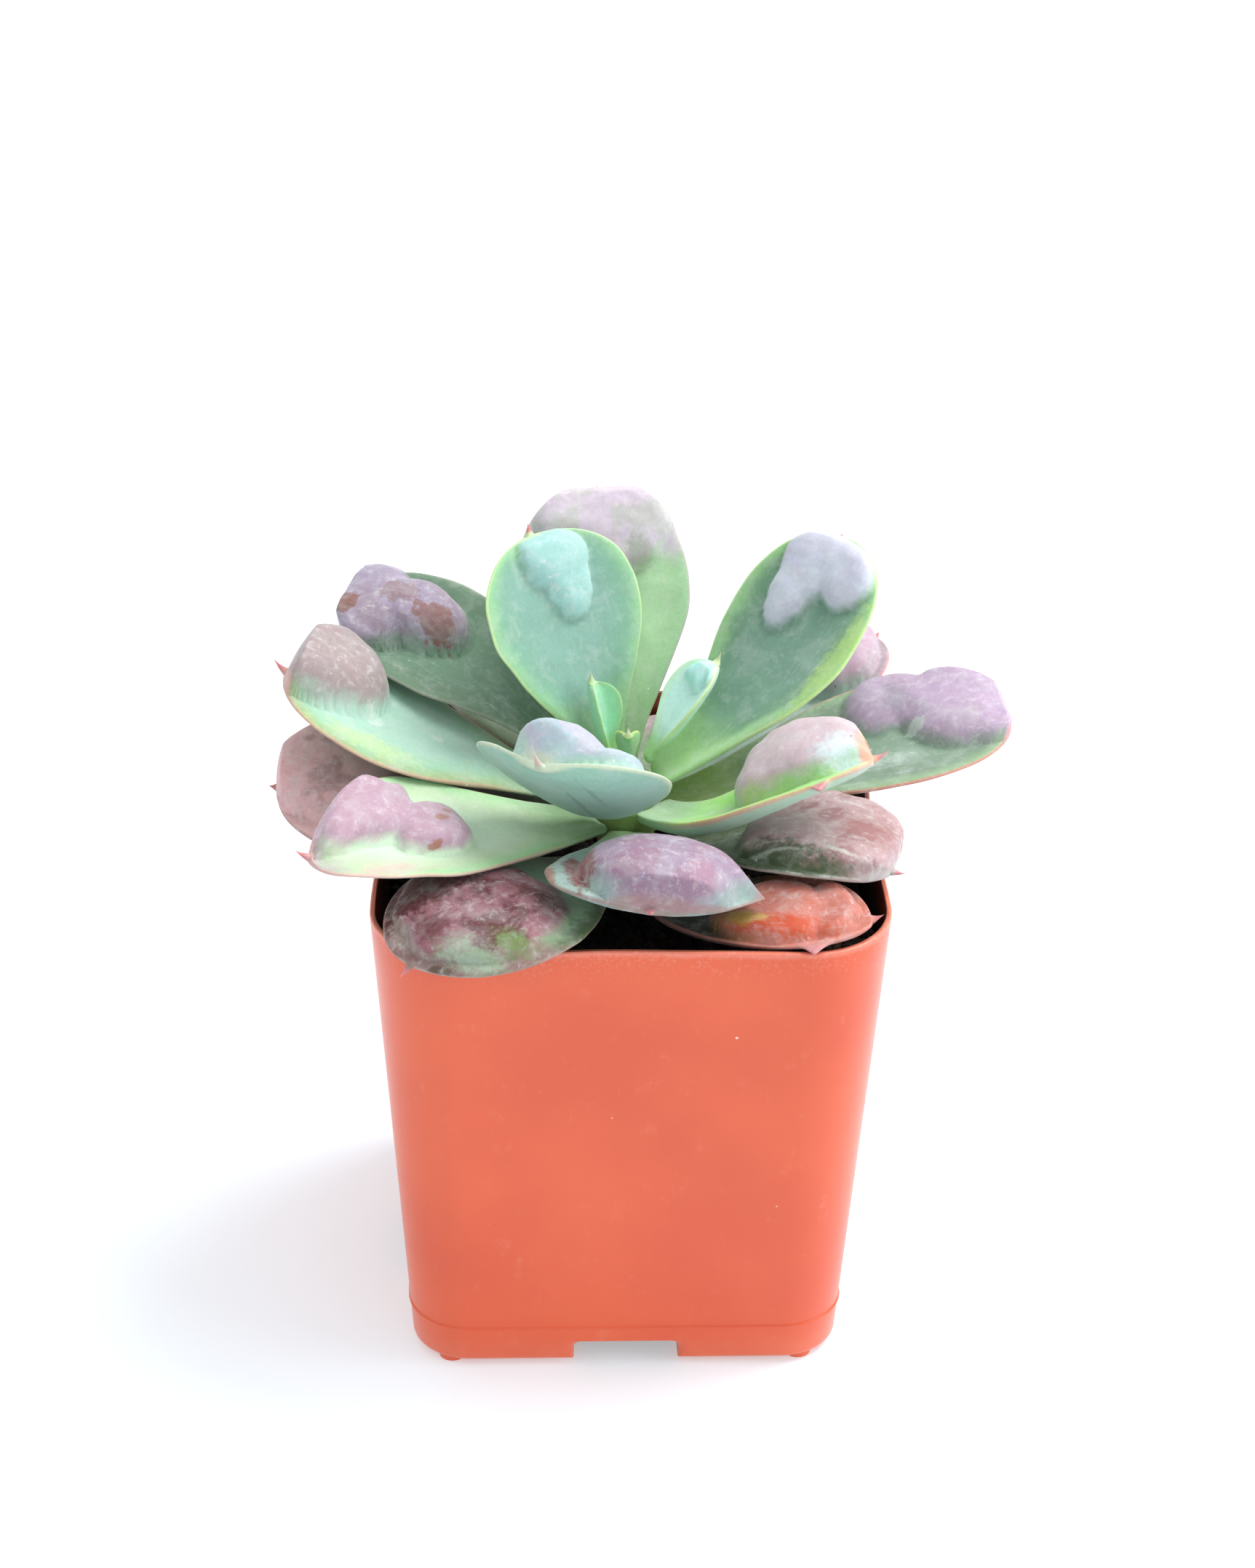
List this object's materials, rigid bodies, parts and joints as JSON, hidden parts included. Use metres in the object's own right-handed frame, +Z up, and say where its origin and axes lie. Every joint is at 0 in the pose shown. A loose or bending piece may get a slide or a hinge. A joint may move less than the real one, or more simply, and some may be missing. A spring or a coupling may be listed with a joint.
{
  "type": "potted succulent",
  "caption": "Rosette succulent with spoon-shaped fleshy leaves that carry lumpy outgrowths near their tips, planted in a small tapered square pot with rounded corners.",
  "frame": {"origin": "on the table, at the middle of the box round the whole plant", "axes": "+Z up along the pot's axis; -Y is the pot's front wall, +X the viewer's right when facing it"},
  "size_m": [0.0837, 0.0624, 0.089],
  "materials": {
    "pot": "moulded terracotta-orange plastic, lightly scuffed, semi-matt",
    "potting_mix": "loose dark brown peat mix",
    "stem": "short green fleshy stem",
    "leaf_old": "living leaf, mauve to maroon with a dusty waxy bloom",
    "leaf": "living leaf, grey-green with mauve outgrowths and a waxy bloom",
    "leaf_young": "living leaf, mint green with yellow-green edges and a waxy bloom"
  },
  "bodies": {
    "root": {"pot": "pot", "potting_mix": "potting_mix", "stem": "stem", "leaf_low_front_left": "leaf_old", "leaf_low_front_right": "leaf_old", "leaf_low_right": "leaf_old", "leaf_low_rear_right": "leaf_old", "leaf_low_rear_left": "leaf_old", "leaf_low_left": "leaf_old", "leaf_front": "leaf", "leaf_left_front": "leaf", "leaf_right": "leaf", "leaf_right_rear": "leaf", "leaf_left_rear": "leaf", "leaf_left": "leaf", "leaf_right_front": "leaf", "leaf_rear_tall": "leaf", "leaf_upright_right": "leaf", "leaf_inner_front": "leaf_young", "leaf_upright_rear": "leaf_young", "leaf_heart_right": "leaf_young", "leaf_heart_left": "leaf_young", "leaf_heart_bud": "leaf_young"}
  },
  "joints": []
}
